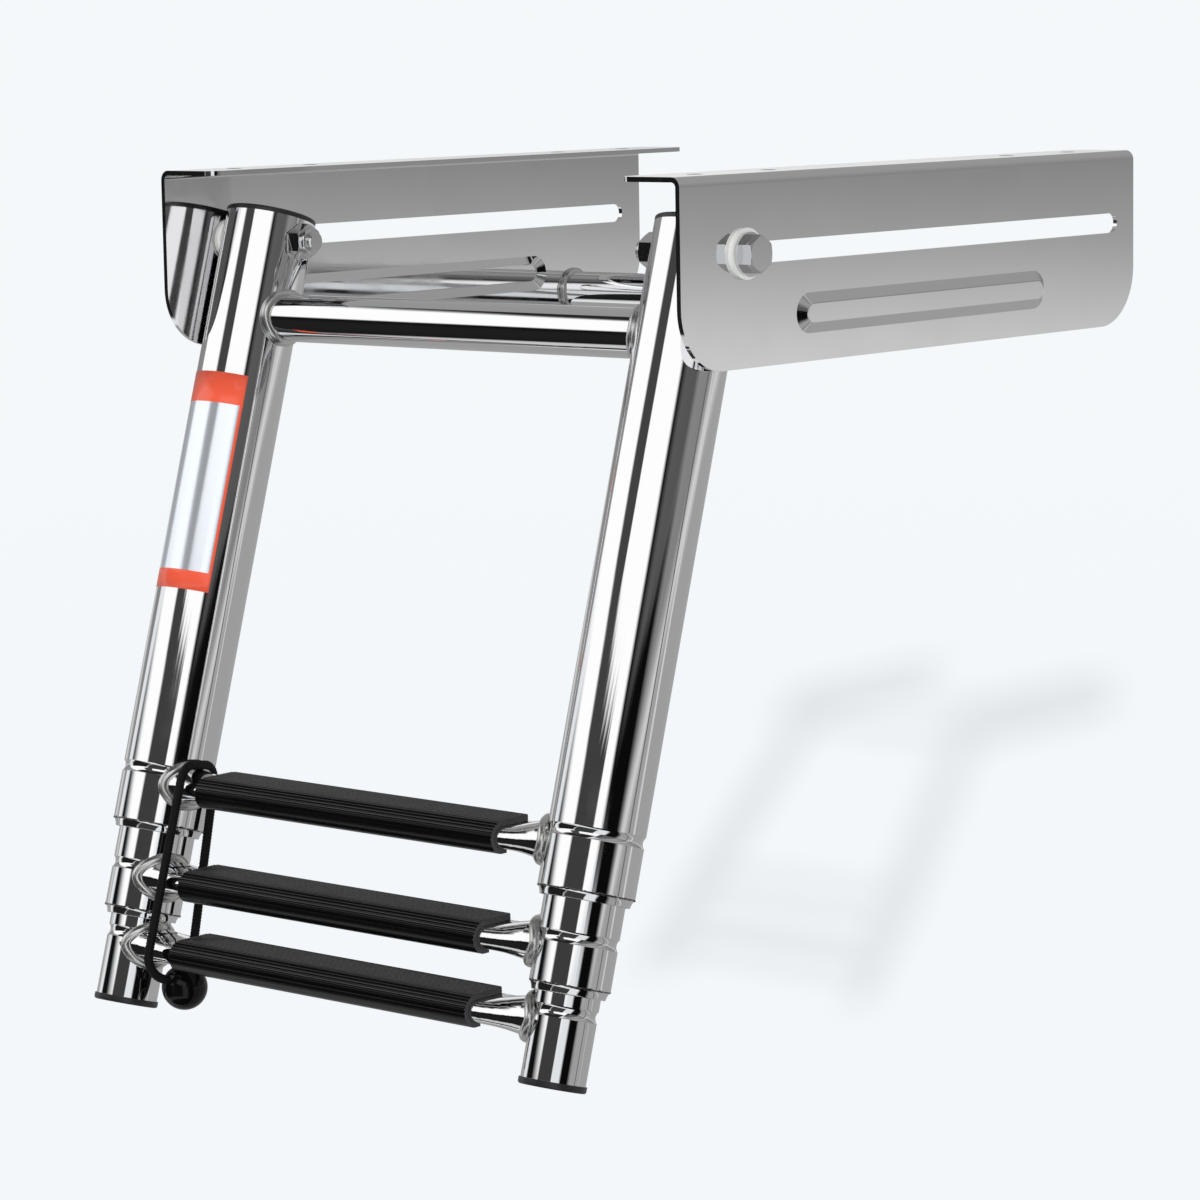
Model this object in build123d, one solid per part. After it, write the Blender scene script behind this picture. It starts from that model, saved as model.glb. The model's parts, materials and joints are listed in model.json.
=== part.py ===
from build123d import *
import math
import os

# Under-platform boat ladder, millimetres, +Z up.
# The ladder is laid out first about the middle of its width, with Y = 0 at the front ends of the
# brackets and Z = 0 on their top faces. At the end everything is shifted so that the origin lies on
# the top face of the left bracket's flange, at the flange's middle. The front is -Y.

# Brackets: two mirrored angles of folded sheet, joined by one round bar
bracket_length = 311.0
bracket_height = 75.0
bracket_span = 281.0
sheet = 2.0
flange_width = 30.5
bend_radius = 4.0
web_corner_radius = 25.0
flange_corner_radius = 6.0
flange_hole_radius = 3.25
flange_hole_ends = (28.0, 74.0)

# Long slot that the pivot bolt travels in, and the pressed stiffening rib below it
slot_drop = 30.7
slot_front = 39.0
slot_rear = 17.0
rib_front = 71.5
rib_rear = 68.5
rib_height = 16.0
rib_drop = 56.0
rib_rise = 2.5
rib_slope = 58.0
rib_edge_radius = 1.2

crossbar_radius = 8.6
crossbar_wall = 1.5
crossbar_rear = 49.0
crossbar_drop = 65.2

# Pivot bolt, washers and lock nut
bolt_radius = 4.0
bolt_clearance = 0.2
bolt_tip_chamfer = 0.6
hex_flats = 13.0
head_height = 5.5
nut_height = 6.0
nut_collar = 2.0
nut_collar_radius = 5.7
nut_collar_round = 1.2
nut_seat_gap = 0.1
bolt_overrun = 2.0
nylon_washer_radius = 10.0
nylon_washer_thickness = 1.6
steel_washer_radius = 8.5
steel_washer_thickness = 1.5
spacer_radius = 9.0
spacer_thickness = 1.6

# Telescoping legs. Every drop is measured down the leg from the pivot bolt.
lean = 17.0
tube_wall = 1.25
stage_gap = 1.925
outer_radius = 19.05
outer_top = -9.4
middle_top = 14.0
inner_top = 17.0
outer_neck = 229.5
middle_neck = 269.8
inner_neck = 298.0
outer_end = 255.0
middle_end = 291.2
inner_end = 324.6
neck_depth = 0.9
neck_half = 2.3
lip_height = 3.6
lip_bend = 6.0
lip_edge_round = 0.4
lip_clearance = 0.5
slide_clearance = 0.12
guide_length = 12.0
middle_travel = 198.0
inner_travel = 208.0
bush_stop_gap = 1.0

top_cap_height = 2.2
top_cap_plug = 3.6
foot_cap_height = 2.7
foot_cap_plug = 9.0
cap_edge_round = 1.0
foot_cap_overhang = 0.6
plug_clearance = 0.1

ladder_bar_drop = 33.1
ladder_bar_radius = 10.0
ladder_bar_wall = 1.5

# Rungs: round tube pressed flat between the legs, with a ribbed plastic tread clipped over it
rung_drops = (234.0, 273.0, 301.5)
rung_forward = (5.0, 5.0, 2.4)
rung_wall = 1.5
rung_flat_depth = 23.6
rung_flat_height = 8.5
rung_end_depth = 20.4
rung_end_height = 16.2
tread_half = 81.6
tread_end_gap = 0.9
tread_wall = 2.0
tread_clearance = 0.1
tread_lip = 7.0
tread_rib_pitch = 2.0
tread_rib_width = 1.0
tread_rib_height = 0.5
tread_rib_count = 8
tread_corner_along = 7.0
tread_corner_across = 6.0

# Elastic cord round the three rungs, with its ball
cord_radius = 2.0
ball_radius = 9.5
ball_place = (-88.0, 2.6, -316.1)
ball_hole_clearance = 0.05

# Derived places
middle_radius = outer_radius - tube_wall - stage_gap
inner_radius = middle_radius - tube_wall - stage_gap
slot_travel = bracket_length - slot_front - slot_rear
half_span = bracket_span / 2
web_inner = half_span - sheet
leg_x = web_inner - spacer_thickness - outer_radius
slot_radius = bolt_radius + bolt_clearance
flange_middle = half_span - flange_width / 2
rung_flat_half = tread_half + tread_end_gap
pivot = Pos(0, slot_front, -slot_drop)
ladder_place = pivot * Rot(-lean, 0, 0)
row_shift = Pos(flange_middle, -bracket_length / 2, 0)

pieces = {}


def mirrored(shape):
    return mirror(shape, about=Plane.YZ)


def both_sides(name, right_shape, place=Pos(0, 0, 0)):
    pieces["right_" + name] = place * right_shape
    pieces["left_" + name] = place * mirrored(right_shape)


# Bracket: an L of sheet with a rounded bend, its web cut to a slot and raised to a rib
def bracket():
    section = Plane.XZ * Polygon(
        (0, 0), (-flange_width, 0), (-flange_width, -sheet), (-sheet, -sheet),
        (-sheet, -bracket_height), (0, -bracket_height), align=None,
    )
    body = extrude(section, amount=-bracket_length)
    outer_bend = body.edges().filter_by(Axis.Y).sort_by_distance((0, bracket_length / 2, 0))[0]
    body = fillet(outer_bend, bend_radius)
    heel = (-sheet, bracket_length / 2, -sheet)
    inner_bend = body.edges().filter_by(Axis.Y).sort_by_distance(heel)[0]
    body = fillet(inner_bend, bend_radius - sheet)

    low = body.edges().filter_by(Axis.X).group_by(Axis.Z)[0]
    body = fillet(low, web_corner_radius)
    tips = body.edges().filter_by(Axis.Z).group_by(Axis.X)[0]
    body = fillet(tips, flange_corner_radius)

    slot_length = slot_travel + 2 * slot_radius
    slot_middle = slot_front + slot_travel / 2
    web_face = Plane(origin=(0, 0, 0), x_dir=(0, 1, 0), z_dir=(1, 0, 0))
    slot = web_face * Pos(slot_middle, -slot_drop) * SlotOverall(slot_length, 2 * slot_radius)
    body -= extrude(slot, amount=sheet, both=True)

    rib_length = bracket_length - rib_front - rib_rear
    rib_middle = rib_front + rib_length / 2
    outline = web_face * Pos(rib_middle, -rib_drop) * SlotOverall(rib_length, rib_height)
    rib = extrude(outline, amount=rib_rise, taper=rib_slope)
    rib = fillet(rib.edges().group_by(Axis.X)[-1], rib_edge_radius)
    body = body + rib - Pos(-sheet, 0, 0) * rib

    for end in flange_hole_ends:
        for along in (end, bracket_length - end):
            hole = extrude(Circle(flange_hole_radius), amount=sheet, both=True)
            body -= Pos(-flange_width / 2, along, 0) * hole
    return Pos(half_span, 0, 0) * body


def cross_tube(radius, wall, half_length):
    ring = Plane.YZ * (Circle(radius) - Circle(radius - wall))
    return extrude(ring, amount=half_length, both=True)


both_sides("bracket", bracket())
crossbar_place = Pos(0, bracket_length - crossbar_rear, -crossbar_drop)
pieces["bracket_crossbar"] = crossbar_place * cross_tube(crossbar_radius, crossbar_wall, web_inner)


# Pivot hardware, laid out along X and seated outwards from the web and inwards from the leg
def along_x(start, shape):
    return Pos(start, 0, 0) * Rot(0, 90, 0) * shape


def washer(radius, thickness):
    ring = Circle(radius) - Circle(bolt_radius + bolt_clearance)
    return extrude(ring, amount=thickness)


def hexagon(height):
    corner = hex_flats / math.sqrt(3)
    block = extrude(RegularPolygon(hex_flats / 2, 6, major_radius=False), amount=height)
    edge = corner - hex_flats / 2
    blank = Cylinder(corner, height, align=(Align.CENTER, Align.CENTER, Align.MIN))
    blank = chamfer(blank.edges().group_by(Axis.Z)[-1], edge / 2, edge)
    return block & blank


nylon_seat = half_span
steel_seat = nylon_seat + nylon_washer_thickness
head_seat = steel_seat + steel_washer_thickness
nut_seat = leg_x - outer_radius - nut_seat_gap
bolt_tip = nut_seat - nut_height - nut_collar - bolt_overrun
shank_length = head_seat - bolt_tip

shank = Cylinder(bolt_radius, shank_length, align=(Align.CENTER, Align.CENTER, Align.MIN))
shank = chamfer(shank.edges().group_by(Axis.Z)[0], bolt_tip_chamfer)
bolt = along_x(bolt_tip, shank) + along_x(head_seat, hexagon(head_height))

nut = hexagon(nut_height)
collar = Cylinder(nut_collar_radius, nut_collar, align=(Align.CENTER, Align.CENTER, Align.MIN))
collar = fillet(collar.edges().group_by(Axis.Z)[-1], nut_collar_round)
nut = Rot(180, 0, 0) * (nut + Pos(0, 0, nut_height) * collar)
nut -= extrude(Circle(bolt_radius + plug_clearance), amount=nut_height + nut_collar, both=True)

both_sides("pivot_bolt", bolt, pivot)
both_sides("nylon_washer", along_x(nylon_seat, washer(nylon_washer_radius, nylon_washer_thickness)), pivot)
both_sides("steel_washer", along_x(steel_seat, washer(steel_washer_radius, steel_washer_thickness)), pivot)
both_sides("leg_spacer", along_x(leg_x + outer_radius, washer(spacer_radius, spacer_thickness)), pivot)
both_sides("lock_nut", along_x(nut_seat, nut), pivot)


# Leg tube: turned profile with a rolled neck above the rung, and a mouth rolled inwards to the lip
# radius where a smaller tube slides in it
def leg_tube(radius, top, neck, end, lip=None):
    bore = radius - tube_wall
    above = -neck + neck_half
    below = -neck - neck_half
    bend = -end + lip_height
    outline = Polyline((bore, -top), (radius, -top), (radius, above))
    outline += ThreePointArc((radius, above), (radius - neck_depth, -neck), (radius, below))
    if lip:
        mouth = lip - tube_wall
        outline += Line((radius, below), (radius, bend))
        outline += RadiusArc((radius, bend), (lip, -end), -lip_bend)
        outline += Line((lip, -end), (mouth, -end))
        outline += RadiusArc((mouth, -end), (bore, bend), lip_bend)
        outline += Line((bore, bend), (bore, below))
    else:
        outline += Polyline((radius, below), (radius, -end), (bore, -end), (bore, below))
    outline += ThreePointArc((bore, below), (bore - neck_depth, -neck), (bore, above))
    outline += Line((bore, above), (bore, -top))
    section = make_face(outline)
    if lip:
        rim = section.vertices().sort_by_distance((lip, -end))[0]
        section = fillet(rim, lip_edge_round)
    return revolve(Plane.XZ * section, Axis.Z)


def ring(outer, inner, top, length):
    band = Circle(outer) - Circle(inner)
    return Pos(0, 0, -top) * extrude(band, amount=-length)


outer_lip = middle_radius + lip_clearance + tube_wall
middle_lip = inner_radius + lip_clearance + tube_wall
outer_leg = leg_tube(outer_radius, outer_top, outer_neck, outer_end, outer_lip)
middle_leg = leg_tube(middle_radius, middle_top, middle_neck, middle_end, middle_lip)
inner_leg = leg_tube(inner_radius, inner_top, inner_neck, inner_end)
outer_leg -= extrude(Plane.YZ * Circle(slot_radius), amount=outer_radius, both=True)


# Nylon guide in the mouth of a tube, and the bush on the head of the tube that slides in it
def guide(holder_radius, slider_radius, end):
    bore = slider_radius + slide_clearance
    return ring(holder_radius - tube_wall, bore, end - lip_height - guide_length, guide_length)


def bush(holder_radius, slider_radius, top, neck, travel):
    length = neck - neck_half - bush_stop_gap - travel - top
    return ring(holder_radius - tube_wall - slide_clearance, slider_radius, top, length)


def plug_cap(radius, height, plug_radius, plug):
    disc = Cylinder(radius, height, align=(Align.CENTER, Align.CENTER, Align.MIN))
    disc = fillet(disc.edges().group_by(Axis.Z)[-1], cap_edge_round)
    stem = Cylinder(plug_radius, plug, align=(Align.CENTER, Align.CENTER, Align.MAX))
    return disc + stem


outer_bore = outer_radius - tube_wall
inner_bore = inner_radius - tube_wall
top_cap = plug_cap(outer_radius, top_cap_height, outer_bore - plug_clearance, top_cap_plug)
foot_cap = plug_cap(
    inner_radius + foot_cap_overhang, foot_cap_height, inner_bore - plug_clearance, foot_cap_plug
)

leg = Pos(leg_x, 0, 0)
both_sides("outer_tube", leg * outer_leg, ladder_place)
both_sides("middle_tube", leg * middle_leg, ladder_place)
both_sides("inner_tube", leg * inner_leg, ladder_place)
both_sides("outer_guide", leg * guide(outer_radius, middle_radius, outer_end), ladder_place)
both_sides("middle_guide", leg * guide(middle_radius, inner_radius, middle_end), ladder_place)
both_sides(
    "middle_bush", leg * bush(outer_radius, middle_radius, middle_top, outer_neck, middle_travel), ladder_place
)
both_sides(
    "inner_bush", leg * bush(middle_radius, inner_radius, inner_top, middle_neck, inner_travel), ladder_place
)
both_sides("top_cap", leg * Pos(0, 0, -outer_top) * top_cap, ladder_place)
both_sides("foot_cap", leg * Pos(0, 0, -inner_end) * Rot(180, 0, 0) * foot_cap, ladder_place)


# What runs from leg to leg is cut to the round of the legs at its ends
def between_legs(shape, radius, drop):
    cutter = extrude(Circle(radius), amount=2 * outer_radius, both=True)
    cutter = Pos(leg_x, 0, -drop) * cutter
    return shape - cutter - mirrored(cutter)


ladder_bar = Pos(0, 0, -ladder_bar_drop) * cross_tube(ladder_bar_radius, ladder_bar_wall, leg_x)
pieces["ladder_crossbar"] = ladder_place * between_legs(ladder_bar, outer_radius, ladder_bar_drop)


# Rung: tube pressed flat in the middle, swelling to an oval at each leg. The same form made smaller
# by the wall all round is its hollow.
def rung_form(inset, swell_end):
    across = Plane(origin=(0, 0, 0), x_dir=(0, 1, 0), z_dir=(1, 0, 0))
    flat = SlotOverall(rung_flat_depth - 2 * inset, rung_flat_height - 2 * inset)
    oval = Ellipse(rung_end_depth / 2 - inset, rung_end_height / 2 - inset)
    middle = extrude(across * flat, amount=rung_flat_half, both=True)
    swell = loft([across.offset(rung_flat_half) * flat, across.offset(swell_end) * oval])
    tail = extrude(across.offset(swell_end) * oval, amount=leg_x - swell_end)
    end = swell + tail
    return middle + end + mirrored(end)


def rung(drop, forward, leg_radius):
    swell_end = leg_x - leg_radius
    bar = rung_form(0, swell_end) - rung_form(rung_wall, swell_end)
    bar = Pos(0, -forward, -drop) * Rot(lean, 0, 0) * bar
    return between_legs(bar, leg_radius, drop)


# Tread: a C-shaped cover that grips the flat of the rung, ribbed along its top
def tread(drop, forward):
    inner_depth = rung_flat_depth + 2 * tread_clearance
    inner_height = rung_flat_height + 2 * tread_clearance
    cover = SlotOverall(inner_depth + 2 * tread_wall, inner_height + 2 * tread_wall)
    top = inner_height / 2 + tread_wall
    first = -(tread_rib_count - 1) / 2 * tread_rib_pitch
    for number in range(tread_rib_count):
        place = Pos(first + number * tread_rib_pitch, top)
        cover += place * Rectangle(tread_rib_width, 2 * tread_rib_height)
    cover -= SlotOverall(inner_depth, inner_height)
    mouth = inner_depth - 2 * tread_lip
    cover -= Pos(0, -top) * Rectangle(mouth, 2 * tread_wall)
    across = Plane(origin=(0, 0, 0), x_dir=(0, 1, 0), z_dir=(1, 0, 0))
    body = extrude(across * cover, amount=tread_half, both=True)
    back = inner_depth / 2 + tread_wall
    corner = Plane.XY * Polygon(
        (tread_half, back), (tread_half - tread_corner_along, back),
        (tread_half, back - tread_corner_across), align=None,
    )
    corner = extrude(corner, amount=2 * top, both=True)
    body = body - corner - mirrored(corner)
    return Pos(0, -forward, -drop) * Rot(lean, 0, 0) * body


leg_radii = (outer_radius, middle_radius, inner_radius)
rung_names = ("top", "middle", "bottom")
for name, drop, forward, leg_radius in zip(rung_names, rung_drops, rung_forward, leg_radii):
    pieces[name + "_rung"] = ladder_place * rung(drop, forward, leg_radius)
    pieces[name + "_tread"] = ladder_place * tread(drop, forward)


# Elastic cord: taut from the ball up the front of the rungs, over the top one and down behind
cord_points = [
    (-88.0, 0.0, -315.8),
    (-91.5, -17.9, -312.8),
    (-91.0, -18.6, -225.4),
    (-96.3, 7.8, -222.2),
    (-93.6, 10.8, -306.0),
    (-88.0, 4.4, -312.0),
]
cord_radii = (10.0, 8.0, 8.0, 5.0)
cord_path = FilletPolyline(*cord_points, radius=cord_radii)
start = Plane(origin=cord_path @ 0, z_dir=cord_path % 0)
cord = sweep(start * Circle(cord_radius), path=cord_path)
ball = Pos(*ball_place) * Sphere(ball_radius)
ball -= sweep(start * Circle(cord_radius + ball_hole_clearance), path=cord_path)
pieces["bungee_cord"] = ladder_place * cord
pieces["stopper_ball"] = ladder_place * ball

os.makedirs("parts", exist_ok=True)
for name, shape in pieces.items():
    export_step(row_shift * shape, "parts/" + name + ".step")
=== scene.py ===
import bpy, bmesh, json, math
from mathutils import Matrix, Vector, noise


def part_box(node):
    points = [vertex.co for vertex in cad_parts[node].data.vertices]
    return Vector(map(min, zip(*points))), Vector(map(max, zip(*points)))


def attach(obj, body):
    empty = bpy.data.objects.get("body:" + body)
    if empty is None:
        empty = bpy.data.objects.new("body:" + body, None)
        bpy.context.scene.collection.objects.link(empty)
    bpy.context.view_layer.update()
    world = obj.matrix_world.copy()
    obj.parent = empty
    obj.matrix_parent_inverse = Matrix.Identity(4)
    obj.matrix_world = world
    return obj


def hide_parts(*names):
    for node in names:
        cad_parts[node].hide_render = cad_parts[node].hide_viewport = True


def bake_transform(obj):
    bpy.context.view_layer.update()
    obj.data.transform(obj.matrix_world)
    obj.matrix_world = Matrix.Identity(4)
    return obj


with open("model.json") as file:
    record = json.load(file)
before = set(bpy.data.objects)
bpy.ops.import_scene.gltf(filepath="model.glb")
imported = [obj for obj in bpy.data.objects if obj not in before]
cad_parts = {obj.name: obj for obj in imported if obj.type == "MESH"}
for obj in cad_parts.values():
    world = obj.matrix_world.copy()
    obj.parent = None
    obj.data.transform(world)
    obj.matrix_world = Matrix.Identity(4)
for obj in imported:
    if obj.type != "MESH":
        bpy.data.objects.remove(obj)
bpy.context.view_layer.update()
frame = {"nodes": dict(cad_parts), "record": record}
nodes = frame["nodes"]
record = frame["record"]
scene = bpy.context.scene
scene.view_settings.view_transform = "Standard"

# Camera: a long lens from the front right, a little above the brackets. Its place, turn, tilt and roll
# come from a fit to the brackets' and legs' edges.
eye = (1.25730, -1.36852, 0.05587)
turn, tilt, roll = 0.706, 0.137, 0.017
lens = bpy.data.cameras.new("camera")
lens.sensor_width = 36.0
lens.lens = 124.27
camera = bpy.data.objects.new("camera", lens)
camera.matrix_world = (
    Matrix.Translation(eye)
    @ Matrix.Rotation(turn, 4, "Z")
    @ Matrix.Rotation(math.pi / 2 - tilt, 4, "X")
    @ Matrix.Rotation(-roll, 4, "Z")
)
scene.collection.objects.link(camera)
scene.camera = camera

# Polished steel: 316 stainless sheet and tube, buffed to a mirror. Under the gloss lie faint buffing
# lines and a slow waviness of the thin wall, which soften and bend the reflections a little.
MM = 0.001
buffing_line = 1.2 * MM      # far coarser than real buffing lines, so that they show at all
buffing_stretch = 0.05       # the lines run 1 / 0.05 times as far along the legs as across them
smear_patch = 25.0 * MM
wall_wave = 45.0 * MM


def linear(code):
    """An sRGB hex code as linear red, green, blue and alpha."""
    channels = [int(code[i:i + 2], 16) / 255 for i in (0, 2, 4)]
    return [c / 12.92 if c <= 0.04045 else ((c + 0.055) / 1.055) ** 2.4 for c in channels] + [1.0]


def add(tree, kind, settings=None, **links):
    """One more node: settings by attribute name, then inputs by socket name, as values or sockets."""
    node = tree.nodes.new(kind)
    for key, value in (settings or {}).items():
        setattr(node, key, value)
    for key, value in links.items():
        by_number = key[0] == "_" and key[1:].isdigit()
        socket = node.inputs[int(key[1:])] if by_number else node.inputs[key.replace("_", " ")]
        if isinstance(value, bpy.types.NodeSocket):
            tree.links.new(value, socket)
        else:
            socket.default_value = value
    return node


def new_material(name):
    """An empty node material and its tree."""
    material = bpy.data.materials.new(name)
    material.use_nodes = True
    material.node_tree.nodes.clear()
    return material, material.node_tree


def polished(name, colour, smoothest, roughest, wave):
    """Bare metal with buffing lines, a wavy wall and a little smear in its gloss."""
    material, tree = new_material(name)
    place = add(tree, "ShaderNodeTexCoord").outputs["Object"]
    smear = add(tree, "ShaderNodeTexNoise", Vector=place, Scale=1 / smear_patch, Detail=2.0, Roughness=0.6)
    gloss = add(tree, "ShaderNodeMapRange", Value=smear.outputs["Fac"], From_Min=0.35, From_Max=0.7,
                To_Min=smoothest, To_Max=roughest)
    stretch = add(tree, "ShaderNodeMapping", Vector=place, Scale=(1.0, 1.0, buffing_stretch))
    lines = add(tree, "ShaderNodeTexNoise", Vector=stretch.outputs[0], Scale=1 / buffing_line, Detail=0.0)
    sway = add(tree, "ShaderNodeTexNoise", Vector=place, Scale=1 / wall_wave, Detail=0.0)
    fine = add(tree, "ShaderNodeBump", Strength=0.05, Distance=0.02 * MM, Height=lines.outputs["Fac"])
    slow = add(tree, "ShaderNodeBump", Strength=wave, Distance=0.5 * MM, Height=sway.outputs["Fac"],
               Normal=fine.outputs[0])
    shader = add(tree, "ShaderNodeBsdfPrincipled", Base_Color=linear(colour), Metallic=1.0,
                 Roughness=gloss.outputs[0], Normal=slow.outputs[0])
    add(tree, "ShaderNodeOutputMaterial", Surface=shader.outputs[0])
    return material


mirror_steel = polished("mirror polished stainless tube", "E8E8E9", 0.02, 0.07, 0.25)
sheet_steel = polished("mirror polished stainless sheet", "E6E6E7", 0.03, 0.10, 0.12)
weld_steel = polished("buffed weld metal", "DCDBD9", 0.27, 0.42, 0.2)
# Dark metal for the burr rings above the leg mouths: its darkness is a painted dark reflection.
dark_reflection_steel = polished("dark metal, painted dark reflection", "6E6B67", 0.15, 0.35, 0.6)


def finish(names, material):
    """Puts a material on CAD nodes, whose meshes stay as they are."""
    for name in names:
        nodes[name].data.materials.clear()
        nodes[name].data.materials.append(material)


# Brackets: two angles of folded 2 mm sheet with a long slot and a pressed rib, joined low at the back
# by one round bar. The bar is welded to the webs all round, and the bead is buffed with it.
finish(["left_bracket", "right_bracket"], sheet_steel)
finish(["bracket_crossbar"], mirror_steel)
bracket_bead = 1.5 * MM
bracket_bead_lift = 0.6      # how far its middle stands off the web, in bead radii
lump = 3.0                   # length of a lump of weld, in bead radii


def piece(name, mesh, material, body):
    """A finished mesh as an object that rides on a body."""
    item = bpy.data.objects.new(name, mesh)
    scene.collection.objects.link(item)
    mesh.materials.append(material)
    for face in mesh.polygons:
        face.use_smooth = True
    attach(item, body)
    return item


def bead(name, loop, radius, body, material, ripple):
    """A closed run of weld or a ring of wire along a loop of points, with a rippled surface."""
    curve = bpy.data.curves.new(name, "CURVE")
    curve.dimensions = "3D"
    spline = curve.splines.new("POLY")
    spline.points.add(len(loop) - 1)
    for point, spot in zip(spline.points, loop):
        point.co = (*spot, 1.0)
    spline.use_cyclic_u = True
    curve.bevel_depth = radius
    curve.bevel_resolution = 4
    line = bpy.data.objects.new(name + "_line", curve)
    mesh = bpy.data.meshes.new_from_object(line)
    bpy.data.objects.remove(line)
    form = bmesh.new()
    form.from_mesh(mesh)
    bmesh.ops.remove_doubles(form, verts=form.verts, dist=0.001 * MM)
    bmesh.ops.recalc_face_normals(form, faces=form.faces)
    for corner in form.verts:
        corner.co += corner.normal * ripple * radius * noise.noise(corner.co / (lump * radius))
    form.to_mesh(mesh)
    form.free()
    return piece(name, mesh, material, body)


def circle(centre, across, up, radius, count=72):
    """Points round a circle in the plane of two directions."""
    turns = [2 * math.pi * k / count for k in range(count)]
    return [centre + across * radius * math.cos(t) + up * radius * math.sin(t) for t in turns]


X, Y, Z = Vector((1, 0, 0)), Vector((0, 1, 0)), Vector((0, 0, 1))
low, high = (Vector(corner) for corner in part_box("bracket_crossbar"))
middle = (low + high) / 2
for side, end, inwards in (("left", low.x, 1), ("right", high.x, -1)):
    centre = Vector((end + inwards * bracket_bead * bracket_bead_lift, middle.y, middle.z))
    ring = circle(centre, Y, Z, (high.z - low.z) / 2)
    bead(side + "_bracket_weld", ring, bracket_bead, "brackets", weld_steel, 0.35)

# Pivot hardware: an M8 hex bolt a side with a white nylon washer against the web, a steel washer under
# the head, a nylon spacer at the leg and a lock nut inside. The bolt's cut thread shows past the nut.
thread_pitch = 1.25 * MM
thread_wire = 0.34 * MM
thread_sunk = 0.1 * MM
first_thread = 0.6           # from the tip, in pitches
bolt_radius = 4.0 * MM
thread_shown = 3
carriage = ("pivot_bolt", "steel_washer", "lock_nut")
finish([side + name for name in carriage for side in ("left_", "right_")],
       polished("turned stainless fasteners", "D6D6D7", 0.06, 0.15, 0.1))


def moulded(name, colour, light, roughness, grain, relief, shine=0.5, mottling=9 * MM, drawn=1.0):
    """Plastic or rubber: a mottle between two close colours and the mould's fine grain as relief.
    A small value for drawn pulls both out along X, as a die does."""
    material, tree = new_material(name)
    whole = add(tree, "ShaderNodeTexCoord").outputs["Object"]
    place = add(tree, "ShaderNodeMapping", Vector=whole, Scale=(drawn, 1.0, 1.0)).outputs[0]
    mottle = add(tree, "ShaderNodeTexNoise", Vector=place, Scale=1 / mottling, Detail=2.0)
    tone = add(tree, "ShaderNodeMix", {"data_type": "RGBA"}, Factor=mottle.outputs["Fac"],
               _6=linear(colour), _7=linear(light))
    pits = add(tree, "ShaderNodeTexNoise", Vector=place, Scale=1 / grain, Detail=1.0)
    bump = add(tree, "ShaderNodeBump", Strength=relief, Distance=0.1 * MM, Height=pits.outputs["Fac"])
    shader = add(tree, "ShaderNodeBsdfPrincipled", Base_Color=tone.outputs[2], Roughness=roughness,
                 Specular_IOR_Level=shine, Normal=bump.outputs[0])
    add(tree, "ShaderNodeOutputMaterial", Surface=shader.outputs[0])
    return material


nylon = moulded("natural white nylon", "D9D9D4", "ECECE8", 0.42, 0.9 * MM, 0.3)
nylon_nodes = ("nylon_washer", "leg_spacer", "outer_guide", "middle_guide", "middle_bush", "inner_bush")
finish([side + name for name in nylon_nodes for side in ("left_", "right_")], nylon)
for side, inwards in (("left", 1), ("right", -1)):
    low, high = (Vector(corner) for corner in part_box(side + "_pivot_bolt"))
    centre = (low + high) / 2
    tip = high.x if inwards > 0 else low.x
    for number in range(thread_shown):
        centre.x = tip - inwards * (number + first_thread) * thread_pitch
        ring = circle(centre, Y, Z, bolt_radius - thread_sunk, 36)
        name = side + "_bolt_thread_" + str(number + 1)
        bead(name, ring, thread_wire, "carriage", weld_steel, 0.0)

# Legs: three stages of drawn stainless tube a side, each with a rolled neck and, on the two wider
# ones, a mouth rolled inwards. The roller leaves a fine burnished burr in a ring above each mouth.
# The ring's dark, speckled metal colour is a painted dark reflection.
stages = ("outer", "middle", "inner")
finish([side + stage + "_tube" for stage in stages for side in ("left_", "right_")], mirror_steel)
joints = {joint["name"]: joint for joint in record["behaviour"]["joints"]}
pivot = Vector(joints["ladder_swing"]["pos_m"])
down = Vector(joints["middle_slide"]["axis"]).normalized()
lean = math.atan2(-down.y, -down.z)
forwards = Vector((0, math.cos(lean), -math.sin(lean)))
leg_centre = {}
leg_radius = {}
for side in ("left", "right"):
    for stage in stages:
        low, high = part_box(side + "_" + stage + "_tube")
        leg_centre[side] = (low[0] + high[0]) / 2
        leg_radius[stage] = (high[0] - low[0]) / 2
mouth_drop = {"outer": 255.0 * MM, "middle": 291.2 * MM}
burr_above = 3.4 * MM
burr_radius = 0.42 * MM
burr_sunk = 0.36 * MM
for side in ("left", "right"):
    for stage in ("outer", "middle"):
        centre = pivot + down * (mouth_drop[stage] - burr_above)
        centre.x = leg_centre[side]
        ring = circle(centre, X, forwards, leg_radius[stage] - burr_sunk, 160)
        bead(side + "_" + stage + "_burr", ring, burr_radius, stage + "_frame", dark_reflection_steel,
             0.9)

# Leg caps: soft black polyethylene discs pushed into the tops and the feet of the legs. They are satin
# from the mould, with a slightly lighter, scuffed look.
cap_black = moulded("black polyethylene", "151516", "242426", 0.38, 0.7 * MM, 0.35)
finish([side + name for name in ("top_cap", "foot_cap") for side in ("left_", "right_")], cap_black)

# Sticker: a plain vinyl label on the front of the left outer tube, clear in its middle, with an
# orange-red band at each end and a thin line down its right edge. It is pressed on round the tube.
sticker_top, sticker_bottom = 61.0 * MM, 153.6 * MM
top_band, bottom_band, edge_line = 13.0 * MM, 8.0 * MM, 1.3 * MM
sticker_left, sticker_right = math.radians(-152), math.radians(-36)
sticker_proud = 0.12 * MM


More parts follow.
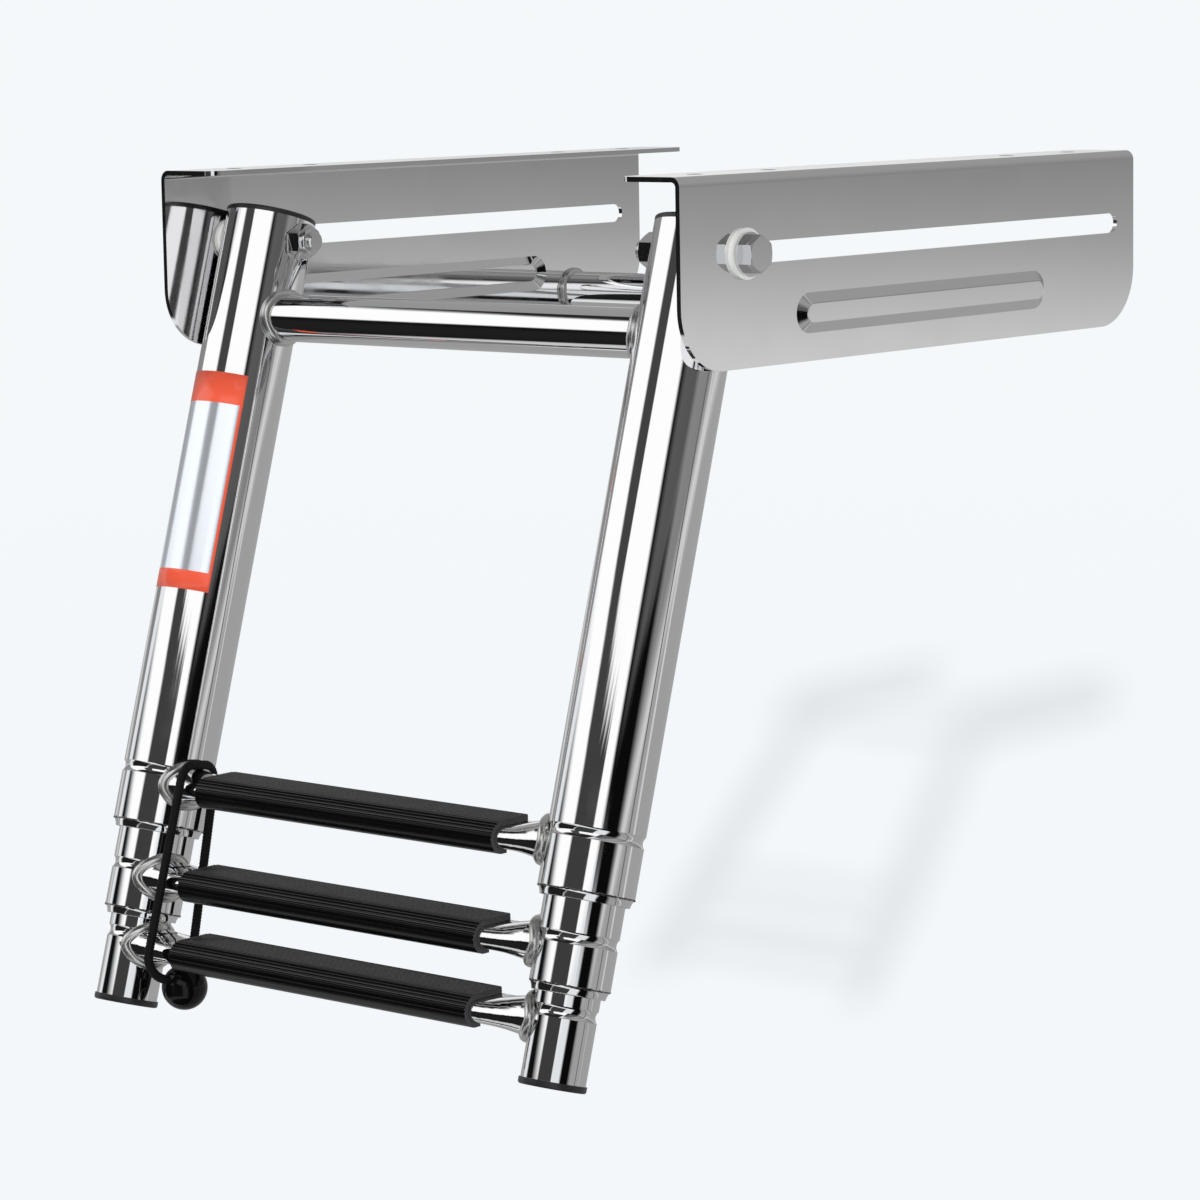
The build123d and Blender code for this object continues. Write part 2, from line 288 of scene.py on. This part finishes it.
def film(name, colour, metallic, roughness, coat):
    """Vinyl film with a little orange peel from the squeegee."""
    material, tree = new_material(name)
    place = add(tree, "ShaderNodeTexCoord").outputs["Object"]
    peel = add(tree, "ShaderNodeTexNoise", Vector=place, Scale=1 / (3 * MM), Detail=2.0)
    bump = add(tree, "ShaderNodeBump", Strength=0.08, Distance=0.1 * MM, Height=peel.outputs["Fac"])
    shader = add(tree, "ShaderNodeBsdfPrincipled", Base_Color=linear(colour), Metallic=metallic,
                 Roughness=roughness, Coat_Weight=coat, Normal=bump.outputs[0])
    add(tree, "ShaderNodeOutputMaterial", Surface=shader.outputs[0])
    return material


form = bmesh.new()
bmesh.ops.create_grid(form, x_segments=46, y_segments=2, size=0.5)     # one unit square, bent round below
stops = [sticker_top + top_band, sticker_bottom - bottom_band]
for height in stops:
    share = 0.5 - (height - sticker_top) / (sticker_bottom - sticker_top)
    bmesh.ops.bisect_plane(form, geom=form.verts[:] + form.edges[:] + form.faces[:],
                           plane_co=(0, share, 0), plane_no=(0, 1, 0))
line_share = edge_line / (leg_radius["outer"] * (sticker_right - sticker_left))
bmesh.ops.bisect_plane(form, geom=form.verts[:] + form.edges[:] + form.faces[:],
                       plane_co=(0.5 - line_share, 0, 0), plane_no=(1, 0, 0))
for face in form.faces:
    spot = face.calc_center_median()
    drop = sticker_top + (0.5 - spot.y) * (sticker_bottom - sticker_top)
    printed = drop < stops[0] or drop > stops[1] or spot.x > 0.5 - line_share
    face.material_index = 1 if printed else 0
for corner in form.verts:
    drop = sticker_top + (0.5 - corner.co.y) * (sticker_bottom - sticker_top)
    bearing = sticker_left + (corner.co.x + 0.5) * (sticker_right - sticker_left)
    out = X * math.cos(bearing) + forwards * math.sin(bearing)
    centre = pivot + down * drop
    centre.x = leg_centre["left"]
    corner.co = centre + out * (leg_radius["outer"] + sticker_proud)
bmesh.ops.recalc_face_normals(form, faces=form.faces)
mesh = bpy.data.meshes.new("banded_sticker")
form.to_mesh(mesh)
form.free()
mesh.materials.append(film("clear vinyl over polished tube", "E6EBF1", 0.72, 0.16, 0.4))
sticker = piece("banded_sticker", mesh, film("orange red printed vinyl", "E4573B", 0.0, 0.3, 0.3),
                "outer_frame")
thickness = sticker.modifiers.new("thickness", "SOLIDIFY")
thickness.thickness = sticker_proud * 0.9
thickness.offset = -1.0

# Rungs and the ladder's crossbar: tube pressed flat under each tread and swelling to meet the legs,
# welded all round and buffed. The beads stay a little lumpy and duller than the tube.
finish(["ladder_crossbar", "top_rung", "middle_rung", "bottom_rung"], mirror_steel)
rung_bead = 2.2 * MM
bead_proud = 1.3 * MM     # how far the bead's middle stands off the leg, clear of its bore
rung_end = (10.2 * MM, 8.1 * MM)
bar_end = (10.0 * MM, 10.0 * MM)
welds = (
    ("ladder_crossbar", "outer", bar_end), ("top_rung", "outer", rung_end),
    ("middle_rung", "middle", rung_end), ("bottom_rung", "inner", rung_end),
)
for bar, stage, (half_depth, half_height) in welds:
    low, high = (Vector(corner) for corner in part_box(bar))
    middle = (low + high) / 2
    for side, inwards in (("left", 1), ("right", -1)):
        seam = []
        for spot in circle(middle, Y * half_depth / half_height, Z, half_height, 96):
            aside = (spot - pivot).dot(forwards)
            reach = leg_radius[stage] + bead_proud
            spot.x = leg_centre[side] + inwards * math.sqrt(reach ** 2 - aside ** 2)
            seam.append(spot)
        bead(side + "_" + bar + "_weld", seam, rung_bead, stage + "_frame", weld_steel,
             0.07)

# Treads: C-shaped covers of extruded black PVC, snapped over the flat of each rung. Fine ribs run
# along the top and the upper half of each nose; the ends are sawn, and cut off square at the back.
tread_half_depth, tread_half_height = 13.9 * MM, 6.35 * MM
tread_wall = 2.0 * MM
tread_mouth = 4.9 * MM
inside_step = 1.2 * MM
rib_edge = math.radians(32)
rib_pitch, rib_out, rib_in = 1.42 * MM, 0.4 * MM, -0.15 * MM
corner_along, corner_across = 7.0 * MM, 6.0 * MM
die_line, die_pull = 1.1 * MM, 0.03
tread_black = moulded("extruded black PVC", "040404", "0C0C0D", 0.25, die_line, 0.12, 0.25,
                      die_line, die_pull)
# Painted highlight: the rib crests that face upwards get a lighter matt grey, which stands in for the
# light along the ribs.
tread_rib_highlight = moulded("extruded black PVC, painted rib highlight", "000000", "3E3E40", 0.42, die_line, 0.12, 0.4,
                     die_line, die_pull)
shiny_slot, sawn_slot, rib_highlight_slot = 0, 1, 2
sawn_black = moulded("sawn PVC edge", "2E2E2F", "4A4A4B", 0.8, 0.5 * MM, 1.0)


def stadium(radius, straight, mouth, step):
    """Points and outward directions round a flat-sided oval, from one lip of its mouth to the other."""
    bottom = straight - mouth
    nose = math.pi * radius
    front, top = bottom + nose, bottom + nose + 2 * straight
    back = top + nose
    total = back + bottom
    count = int(total / step)
    for k in range(count + 1):
        s = total * k / count
        if s < bottom:
            yield s, Vector((0, -mouth - s, -radius)), -Z
        elif s < front:
            angle = -math.pi / 2 - (s - bottom) / radius
            out = Y * math.cos(angle) + Z * math.sin(angle)
            yield s, out * radius - Y * straight, out
        elif s < top:
            yield s, Vector((0, s - front - straight, radius)), Z
        elif s < back:
            angle = math.pi / 2 - (s - top) / radius
            out = Y * math.cos(angle) + Z * math.sin(angle)
            yield s, out * radius + Y * straight, out
        else:
            yield s, Vector((0, straight - (s - back), -radius)), -Z


def tread(name, rung_body):
    """One cover in place of its CAD node: a ribbed outline drawn out, its back corners cut off."""
    low, high = (Vector(corner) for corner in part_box(name))
    centre = Vector(((low.x + high.x) / 2, (low.y + high.y) / 2, low.z + tread_half_height))
    half_length = (high.x - low.x) / 2
    straight = tread_half_depth - tread_half_height
    outline = []
    for s, spot, out in stadium(tread_half_height, straight, tread_mouth, rib_pitch / 4):
        wave = 0.0
        if spot.z > 0:
            phase = (s / rib_pitch) % 1.0
            wave = rib_out if phase < 0.5 else rib_in
        outline.append(spot + out * wave)
    inner = tread_half_height - tread_wall
    inside = [spot for s, spot, out in stadium(inner, straight, tread_mouth, inside_step)]
    form = bmesh.new()
    ring = [form.verts.new(spot - X * half_length) for spot in outline + inside[::-1]]
    face = form.faces.new(ring)
    face.material_index = sawn_slot
    grown = bmesh.ops.extrude_face_region(form, geom=[face])["geom"]
    far = [item for item in grown if isinstance(item, bmesh.types.BMVert)]
    bmesh.ops.translate(form, verts=far, vec=X * 2 * half_length)
    bmesh.ops.recalc_face_normals(form, faces=form.faces)
    for wall in form.faces:
        spot = wall.calc_center_median()
        reach = math.hypot(max(abs(spot.y) - straight, 0.0), spot.z)
        # Upward-facing rib crests carry the painted highlight.
        rib_top = wall.normal.z > 0.3 and reach > tread_half_height + rib_out / 2
        if len(wall.verts) > 4:
            wall.material_index = sawn_slot
        else:
            wall.material_index = rib_highlight_slot if rib_top else shiny_slot
    for sign in (1, -1):
        cut = bmesh.ops.bisect_plane(
            form, geom=form.verts[:] + form.edges[:] + form.faces[:], clear_outer=True,
            plane_co=(sign * half_length, tread_half_depth - corner_across, 0),
            plane_no=(sign * corner_across, corner_along, 0),
        )
        edges = [item for item in cut["geom_cut"] if isinstance(item, bmesh.types.BMEdge)]
        bmesh.ops.edgeloop_fill(form, edges=edges, mat_nr=sawn_slot)
    bmesh.ops.translate(form, verts=form.verts, vec=centre)
    bmesh.ops.recalc_face_normals(form, faces=form.faces)
    mesh = bpy.data.meshes.new(name + "_cover")
    form.to_mesh(mesh)
    form.free()
    mesh.materials.append(tread_black)
    mesh.materials.append(sawn_black)
    item = piece(name + "_cover", mesh, tread_rib_highlight, rung_body)
    mesh.set_sharp_from_angle(angle=rib_edge)
    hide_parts(name)


tread("top_tread", "outer_frame")
tread("middle_tread", "middle_frame")
tread("bottom_tread", "inner_frame")

# Elastic cord: 4 mm shock cord, rubber inside a black braided polyester sleeve, looped tight round
# the three rungs from a moulded ball. It is made in three runs that meet near the middle rung.
cord_radius = 1.8 * MM
cord_step = 0.55 * MM
arc_steps = 16
strands, strand_pitch, strand_relief = 4, 5.5 * MM, 0.28 * MM
cord_route = [
    (-88.0, 0.0, -315.8),
    (-91.5, -17.9, -312.8),
    (-91.0, -18.4, -226.2),
    (-97.6, 6.8, -223.3),
    (-95.0, 10.8, -306.0),
    (-88.0, 4.4, -312.0),
]
cord_bends = (10.0 * MM, 8.0 * MM, 8.0 * MM, 5.0 * MM)
stretch_top, split, stretch_low = 236.0 * MM, 273.0 * MM, 300.0 * MM     # drops below the pivot
ladder_place = Matrix.Translation(pivot) @ Matrix.Rotation(-lean, 4, "X")


def rounded(points, bends):
    """Evenly spaced points along straight runs joined by tangent arcs."""
    line = [points[0]]
    for before, corner, after, bend in zip(points, points[1:], points[2:], bends):
        into, away = (before - corner).normalized(), (after - corner).normalized()
        half = into.angle(away) / 2
        hub = corner + (into + away).normalized() * bend / math.sin(half)
        first = corner + into * bend / math.tan(half) - hub
        last = corner + away * bend / math.tan(half) - hub
        for k in range(arc_steps + 1):
            line.append(hub + first.slerp(last, k / arc_steps).normalized() * bend)
    line.append(points[-1])
    spaced, left = [line[0]], cord_step
    for a, b in zip(line, line[1:]):
        run = (b - a).length
        while left <= run:
            spaced.append(a.lerp(b, left / run))
            left += cord_step
        left -= run
    return spaced


def braided(name, line, body):
    """A run of cord swept along a line, its surface raised in crossing strands."""
    form = bmesh.new()
    around = form.verts.layers.float.new("around")
    station = form.verts.layers.int.new("station")
    tangent = (line[1] - line[0]).normalized()
    turnto = Z.rotation_difference(tangent).to_matrix().to_4x4()
    place = Matrix.Translation(line[0]) @ turnto
    bmesh.ops.create_circle(form, segments=24, radius=cord_radius, matrix=place, cap_ends=False)
    inverse = place.inverted()
    for corner in form.verts:
        flat = inverse @ corner.co
        corner[around] = math.atan2(flat.y, flat.x)
    edges = form.edges[:]
    for number in range(1, len(line)):
        grown = bmesh.ops.extrude_edge_only(form, edges=edges)["geom"]
        edges = [item for item in grown if isinstance(item, bmesh.types.BMEdge)
                 and all(v in grown for v in item.verts)]
        fresh = [item for item in grown if isinstance(item, bmesh.types.BMVert)]
        onward = (line[min(number + 1, len(line) - 1)] - line[number - 1]).normalized()
        bend = tangent.rotation_difference(onward).to_matrix().to_4x4()
        move = Matrix.Translation(line[number]) @ bend @ Matrix.Translation(-line[number - 1])
        bmesh.ops.transform(form, matrix=move, verts=fresh)
        for corner in fresh:
            corner[station] = number
        tangent = onward
    for corner in form.verts:
        along = corner[station] * cord_step / strand_pitch * 2 * math.pi
        one = math.sin(strands * corner[around] + along * strands / 2)
        two = math.sin(strands * corner[around] - along * strands / 2)
        hub = line[corner[station]]
        corner.co += (corner.co - hub).normalized() * strand_relief * (one * two)
    bmesh.ops.holes_fill(form, edges=[edge for edge in form.edges if edge.is_boundary])
    bmesh.ops.recalc_face_normals(form, faces=form.faces)
    mesh = bpy.data.meshes.new(name)
    form.to_mesh(mesh)
    form.free()
    item = piece(name, mesh, cord_black, body)
    item.parent = None
    return item


cord_black = moulded("braided black polyester", "040404", "0F0F10", 0.6, 0.6 * MM, 0.8, 0.25)
line = rounded([ladder_place @ (Vector(spot) * MM) for spot in cord_route], cord_bends)
drops = [(spot - pivot).dot(down) for spot in line]
first = next(k for k, drop in enumerate(drops) if drop < split)
last = len(drops) - next(k for k, drop in enumerate(reversed(drops)) if drop < split)
upper = braided("cord_upper", line[first - 2:last + 2], "outer_frame")
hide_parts("bungee_cord")
lower_front = braided("cord_lower_front", line[:first], "middle_frame")
lower_back = braided("cord_lower_back", line[last:], "middle_frame")
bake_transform(upper)
for run in (lower_front, lower_back):
    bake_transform(run)

# Stopper ball: solid black rubber, moulded smooth and glossy, threaded on the cord under the bottom
# rung. It shows small sharp highlights and a faint bloom.
ball_rubber = moulded("glossy black rubber", "050505", "0A0A0A", 0.12, 1.4 * MM, 0.05, 0.2)
finish(["stopper_ball"], ball_rubber)

# Surroundings: to the eye and in glass or glare the room is one pale white. On everything else it is a
# softer, even light.
world = bpy.data.worlds.new("studio")
scene.world = world
world.use_nodes = True
sky = world.node_tree
sky.nodes.clear()
path = add(sky, "ShaderNodeLightPath")
seen = add(sky, "ShaderNodeMath", {"operation": "MAXIMUM"}, _0=path.outputs["Is Camera Ray"],
           _1=path.outputs["Is Glossy Ray"])
seen = add(sky, "ShaderNodeMath", {"operation": "MAXIMUM"}, _0=seen.outputs[0],
           _1=path.outputs["Is Transmission Ray"])
fill_light = add(sky, "ShaderNodeBackground", Color=linear("F4F7FA"), Strength=0.6)
backdrop = add(sky, "ShaderNodeBackground", Color=linear("F5F8FA"), Strength=1.0)
mixed = add(sky, "ShaderNodeMixShader", _0=seen.outputs[0], _1=fill_light.outputs[0],
            _2=backdrop.outputs[0])
add(sky, "ShaderNodeOutputWorld", Surface=mixed.outputs[0])

# Studio dome: black, grey and white cards round the ladder that only its polished metal sees, painted
# on one shell. Each row of a card gives a height angle, the bearings of its two edges and its shade;
# the card fades out over its first and last rows, and over the soft widths at its sides.
hub = Vector((0.125, -0.16, -0.15))
dome_radius = 3.0
dome_top = 88.5
white, black, dark = "FFFFFF", "0C0C0C", "2A2A2A"
cards = (
    # softbox in front
    (1.22, (2, 2), [(9, -175, -36, white), (11, -175, -36, white), (42, -175, -36, white),
                    (46, -175, -36, white)]),
    # ceiling
    (1.0, (2, 2), [(42, -178, -41, dark), (47, -178, -41, dark), (89, -178, -41, dark),
                   (90, -178, -41, dark)]),
    # dark floor in front, with a lit seam in it
    (1.0, (6, 2), [(-90, -162, 26, "161616"), (-89, -162, 26, "161616"), (-50, -162, 26, "161616"),
                   (-48, -162, 26, "161616")]),
    (1.0, (6, 2), [(-50, -162, -118, "C8C8C8"), (-47, -162, -118, "D8D8D8"),
                   (-39, -162, -118, "D8D8D8"), (-36, -162, -118, "C8C8C8")]),
    (1.0, (6, 2), [(-39, -162, -104, "1C1C1C"), (-36, -162, -104, "1C1C1C"), (-22, -162, -104, "222222"),
                   (-4, -160, -106, "222222"), (8, -160, -106, black), (12, -160, -106, black)]),
    # grey flag in the middle of the front
    (1.0, (5, 1.5), [(-39, -106, -54, "3C3C3C"), (-36, -106, -54, "3C3C3C"), (17, -108, -56, "424242"),
                     (20, -115, -80, "464646"), (22, -121, -91, "484848"), (62, -121, -91, "484848"),
                     (66, -121, -91, "484848")]),
    # walls at the right and behind, lit low down
    (1.0, (8, 3), [(-90, -14, 190, "A0A0A0"), (-89, -14, 190, "A0A0A0"), (-6, -14, 190, "ACACAC"),
                   (-3.5, -14, 190, "E2E2E2"), (-2.5, -14, 190, "D8D8D8"), (-0.5, -14, 190, "ACACAC"),
                   (1.5, -14, 190, "8C8C8C"), (30, -14, 190, "A4A4A4"), (89, -14, 190, "9A9A9A"),
                   (90, -14, 190, "9A9A9A")]),
    (1.0, (6, 6), [(3, 112, 150, "F4F4F4"), (5, 112, 150, "F4F4F4"), (16, 112, 150, "F4F4F4"),
                   (19, 112, 150, "F4F4F4")]),
    (1.0, (1, 1), [(-88, 25, 29, "6A6A6A"), (-80, 25, 29, "6A6A6A"), (70, 25, 29, "6A6A6A"),
                   (80, 25, 29, "6A6A6A")]),
    (1.0, (1, 1), [(-88, 37.5, 41, "E4E4E4"), (-80, 37.5, 41, "E4E4E4"), (70, 37.5, 41, "E4E4E4"),
                   (80, 37.5, 41, "E4E4E4")]),
    # black flag on the right, with a grey edge
    (1.0, (1, 10), [(6, -36, 8, "5C5C5C"), (9, -36, 8, "5C5C5C"), (60, -34, -2, "787878"),
                    (64, -34, -2, "787878")]),
    (1.0, (6, 10), [(-88, -32, 8, black), (-86, -32, 8, black), (7, -32, 6, black), (11, -41, -24, black),
                    (60, -41, -26, black), (64, -41, -26, black)]),
)


def ramp(value, start, end):
    """From 0 at the start to 1 at the end, and level beyond both."""
    return min(max((value - start) / (end - start), 0.0), 1.0)


def dome_shade(bearing, height):
    """What the shell shows at a bearing and a height angle."""
    shade = Vector(linear("F5F8FA")[:3])
    for strength, soft, rows in cards:
        if not rows[0][0] < height < rows[-1][0]:
            continue
        number = max(k for k in range(len(rows) - 1) if rows[k][0] <= height)
        here, there = rows[number], rows[number + 1]
        share = ramp(height, here[0], there[0])
        west = here[1] + share * (there[1] - here[1])
        east = here[2] + share * (there[2] - here[2])
        paint = Vector(linear(here[3])[:3]).lerp(Vector(linear(there[3])[:3]), share) * strength
        rise = ramp(height, rows[0][0], rows[1][0]) * (1 - ramp(height, rows[-2][0], rows[-1][0]))
        turned = bearing + 360 if bearing + 360 < east else bearing
        sides = ramp(turned, west, west + soft[0]) * (1 - ramp(turned, east - soft[1], east))
        shade = shade.lerp(paint, rise * sides)
    return shade


mesh = bpy.data.meshes.new("studio_dome")
form = bmesh.new()
shade_of = form.verts.layers.float_vector.new("shade")
bmesh.ops.create_grid(form, x_segments=360, y_segments=177, size=1.0)
for corner in form.verts:
    bearing = corner.co.x * 180
    height = corner.co.y * dome_top
    corner[shade_of] = dome_shade(bearing, height)
    level = math.cos(math.radians(height))
    aim = Vector((level * math.cos(math.radians(bearing)), level * math.sin(math.radians(bearing)),
                  math.sin(math.radians(height))))
    corner.co = hub + aim * dome_radius
form.to_mesh(mesh)
form.free()
dome = bpy.data.objects.new("studio_dome", mesh)
scene.collection.objects.link(dome)
paint, tree = new_material("painted cards")
colour = add(tree, "ShaderNodeAttribute", {"attribute_name": "shade"})
glow = add(tree, "ShaderNodeEmission", Color=colour.outputs["Vector"], Strength=1.0)
add(tree, "ShaderNodeOutputMaterial", Surface=glow.outputs[0])
paint.cycles.emission_sampling = "NONE"
mesh.materials.append(paint)
dome.visible_camera = dome.visible_diffuse = dome.visible_shadow = False
dome.visible_transmission = dome.visible_volume_scatter = False

# Floor: a pale matt sheet that stays clear of the legs at full length. Far off it fades into the white
# of the room, and it keeps the ladder's soft shadow.
floor_level = -0.78
floor_reach = 8.0
floor_glow = 0.30            # lifts the floor to the white of the room
fade_near, fade_far = 4.0, 7.0
mesh = bpy.data.meshes.new("floor")
form = bmesh.new()
bmesh.ops.create_grid(form, x_segments=1, y_segments=1, size=floor_reach)
bmesh.ops.translate(form, verts=form.verts, vec=(0, 0, floor_level))
form.to_mesh(mesh)
form.free()
floor = bpy.data.objects.new("floor", mesh)
scene.collection.objects.link(floor)
paint, tree = new_material("pale matt floor")
path = add(tree, "ShaderNodeLightPath")
place = add(tree, "ShaderNodeTexCoord").outputs["Object"]
flat = add(tree, "ShaderNodeVectorMath", {"operation": "MULTIPLY"}, _0=place, _1=(1.0, 1.0, 0.0))
distance = add(tree, "ShaderNodeVectorMath", {"operation": "LENGTH"}, _0=flat.outputs[0])
fade = add(tree, "ShaderNodeMapRange", Value=distance.outputs["Value"], From_Min=fade_near,
           From_Max=fade_far, To_Min=0.0, To_Max=1.0)
matt = add(tree, "ShaderNodeBsdfDiffuse", Color=linear("F3F5F7"))
lift = add(tree, "ShaderNodeMath", {"operation": "MULTIPLY"}, _0=path.outputs["Is Camera Ray"],
           _1=floor_glow)
glow = add(tree, "ShaderNodeEmission", Color=linear("F6F8FA"), Strength=lift.outputs[0])
lit = add(tree, "ShaderNodeAddShader", _0=matt.outputs[0], _1=glow.outputs[0])
clear = add(tree, "ShaderNodeBsdfTransparent")
both = add(tree, "ShaderNodeMixShader", _0=fade.outputs[0], _1=lit.outputs[0], _2=clear.outputs[0])
add(tree, "ShaderNodeOutputMaterial", Surface=both.outputs[0])
paint.cycles.emission_sampling = "NONE"
mesh.materials.append(paint)
floor.visible_glossy = False

# Lamp: one soft sun low in the front left, which throws the shadow back and to the right. The polished
# metal doesn't mirror it.
lamp = bpy.data.lights.new("key", "SUN")
lamp.energy = 2.2
lamp.angle = math.radians(1.3)
heading, height = math.radians(123.5), math.radians(12.5)
across, drop = math.cos(height), -math.sin(height)
aim = Vector((math.cos(heading) * across, math.sin(heading) * across, drop))
key = bpy.data.objects.new("key", lamp)
key.rotation_euler = aim.to_track_quat("-Z", "Y").to_euler()
key.visible_glossy = False
scene.collection.objects.link(key)
